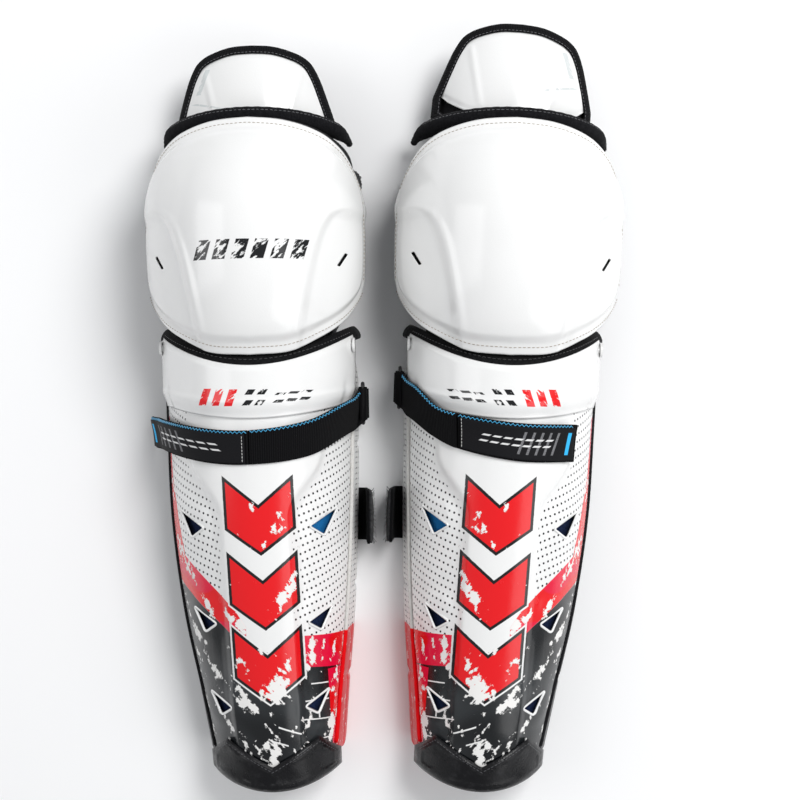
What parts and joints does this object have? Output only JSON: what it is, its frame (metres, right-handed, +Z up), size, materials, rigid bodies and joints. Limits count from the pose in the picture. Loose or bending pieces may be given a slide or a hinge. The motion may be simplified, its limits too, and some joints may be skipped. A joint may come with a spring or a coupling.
{
  "type": "hockey shin guards",
  "caption": "Ice hockey shin guards for both legs: hard shin shells and hinged knee caps over padding, thigh flaps, calf wings and hook-and-loop straps.",
  "frame": {"origin": "on the floor under the middle of the pair's bounding box, the guards lying on their backs", "axes": "+X from the right guard to the left guard, +Y up the legs toward the thighs, +Z up from the floor, out of the shins"},
  "size_m": [0.3375, 0.5278, 0.1324],
  "materials": {
    "shell_white": "satin white skin over a moulded shell",
    "cap_white": "gloss white",
    "liner_navy": "brushed mesh over foam",
    "foam_black": "fabric covered foam",
    "rubber_black": "matte grained",
    "wing_black": "padded fabric",
    "piping": "woven piping",
    "webbing_black": "ribbed elastic webbing",
    "webbing_teal": "ribbed webbing",
    "ring_black": "moulded",
    "rivet_steel": "satin",
    "roll_black": "padded fabric",
    "sling_plastic": "matte",
    "binding_black": "ribbed tape",
    "tab_patch": "hook-and-loop patch"
  },
  "bodies": {
    "right_shin": {"right_shin_shell": "shell_white", "right_shin_liner": "liner_navy", "right_collar_band": "shell_white", "right_collar_gasket": "foam_black", "right_ankle_guard": "rubber_black", "right_medial_wing": "wing_black", "right_lateral_wing": "wing_black", "right_shell_piping": "piping", "right_strap_anchor": "webbing_black", "right_strap_ring": "ring_black", "right_calf_anchor": "webbing_black", "right_calf_ring": "ring_black", "right_strap_rivets": "rivet_steel", "right_pivot_rivets": "rivet_steel"},
    "right_knee": {"right_knee_cap": "cap_white", "right_knee_foam": "foam_black", "right_knee_liner": "liner_navy", "right_knee_roll": "roll_black", "right_knee_slings": "sling_plastic", "right_knee_anchor": "webbing_teal", "right_knee_ring": "ring_black"},
    "right_thigh": {"right_thigh_plate": "cap_white", "right_thigh_pad": "foam_black", "right_thigh_binding": "binding_black"},
    "right_front_strap": {"right_front_strap": "webbing_black"},
    "right_strap_tab": {"right_strap_tab": "tab_patch"},
    "right_calf_strap": {"right_calf_strap": "webbing_black", "right_calf_strap_tab": "tab_patch"},
    "right_knee_strap": {"right_knee_strap": "webbing_black", "right_knee_strap_tab": "tab_patch"},
    "left_shin": {"left_shin_shell": "shell_white", "left_shin_liner": "liner_navy", "left_collar_band": "shell_white", "left_collar_gasket": "foam_black", "left_ankle_guard": "rubber_black", "left_medial_wing": "wing_black", "left_lateral_wing": "wing_black", "left_shell_piping": "piping", "left_strap_anchor": "webbing_black", "left_strap_ring": "ring_black", "left_calf_anchor": "webbing_black", "left_calf_ring": "ring_black", "left_strap_rivets": "rivet_steel", "left_pivot_rivets": "rivet_steel"},
    "left_knee": {"left_knee_cap": "cap_white", "left_knee_foam": "foam_black", "left_knee_liner": "liner_navy", "left_knee_roll": "roll_black", "left_knee_slings": "sling_plastic", "left_knee_anchor": "webbing_teal", "left_knee_ring": "ring_black"},
    "left_thigh": {"left_thigh_plate": "cap_white", "left_thigh_pad": "foam_black", "left_thigh_binding": "binding_black"},
    "left_front_strap": {"left_front_strap": "webbing_black"},
    "left_strap_tab": {"left_strap_tab": "tab_patch"},
    "left_calf_strap": {"left_calf_strap": "webbing_black", "left_calf_strap_tab": "tab_patch"},
    "left_knee_strap": {"left_knee_strap": "webbing_black", "left_knee_strap_tab": "tab_patch"}
  },
  "joints": [
    {"name": "right_knee_flex", "type": "hinge", "parent": "right_shin", "child": "right_knee", "pos_m": [-0.08592, 0.04145, 0.048], "axis": [0.9998, 0.0175, 0], "range_deg": [-35, 0]},
    {"name": "right_thigh_fold", "type": "hinge", "parent": "right_knee", "child": "right_thigh", "pos_m": [-0.08854, 0.19143, 0.012], "axis": [0.9998, 0.0175, 0], "range_deg": [-40, 5]},
    {"name": "right_strap_swing", "type": "hinge", "parent": "right_shin", "child": "right_front_strap", "pos_m": [-0.01343, 0.00221, 0.033], "axis": [-0.0175, 0.9998, 0], "range_deg": [0, 20]},
    {"name": "right_tab_peel", "type": "hinge", "parent": "right_front_strap", "child": "right_strap_tab", "pos_m": [-0.08704, -0.02658, 0.1044], "axis": [-0.0175, 0.9998, 0], "range_deg": [0, 120]},
    {"name": "right_calf_strap_open", "type": "hinge", "parent": "right_shin", "child": "right_calf_strap", "pos_m": [-0.13182, -0.07937, 0.004], "axis": [-0.0175, 0.9998, 0], "range_deg": [0, 75]},
    {"name": "right_knee_strap_open", "type": "hinge", "parent": "right_knee", "child": "right_knee_strap", "pos_m": [-0.15883, 0.1502, 0.004], "axis": [-0.0175, 0.9998, 0], "range_deg": [0, 75]},
    {"name": "left_knee_flex", "type": "hinge", "parent": "left_shin", "child": "left_knee", "pos_m": [0.08504, 0.04131, 0.048], "axis": [0.9994, -0.0349, 0], "range_deg": [-35, 0]},
    {"name": "left_thigh_fold", "type": "hinge", "parent": "left_knee", "child": "left_thigh", "pos_m": [0.0908, 0.20621, 0.012], "axis": [0.9945, -0.1045, 0], "range_deg": [-40, 5]},
    {"name": "left_strap_swing", "type": "hinge", "parent": "left_shin", "child": "left_front_strap", "pos_m": [0.01222, 0.01334, 0.033], "axis": [-0.0349, -0.9994, 0], "range_deg": [0, 20]},
    {"name": "left_tab_peel", "type": "hinge", "parent": "left_front_strap", "child": "left_strap_tab", "pos_m": [0.05034, -0.01551, 0.0952], "axis": [-0.0349, -0.9994, 0], "range_deg": [0, 120]},
    {"name": "left_calf_strap_open", "type": "hinge", "parent": "left_shin", "child": "left_calf_strap", "pos_m": [0.12883, -0.08029, 0.004], "axis": [-0.0349, -0.9994, 0], "range_deg": [0, 75]},
    {"name": "left_knee_strap_open", "type": "hinge", "parent": "left_knee", "child": "left_knee_strap", "pos_m": [0.15984, 0.14877, 0.004], "axis": [-0.0349, -0.9994, 0], "range_deg": [0, 75]},
    {"name": "pair_spread", "type": "slide", "parent": "right_shin", "child": "left_shin", "axis": [1, 0, 0], "range_m": [0, 0.2]}
  ]
}
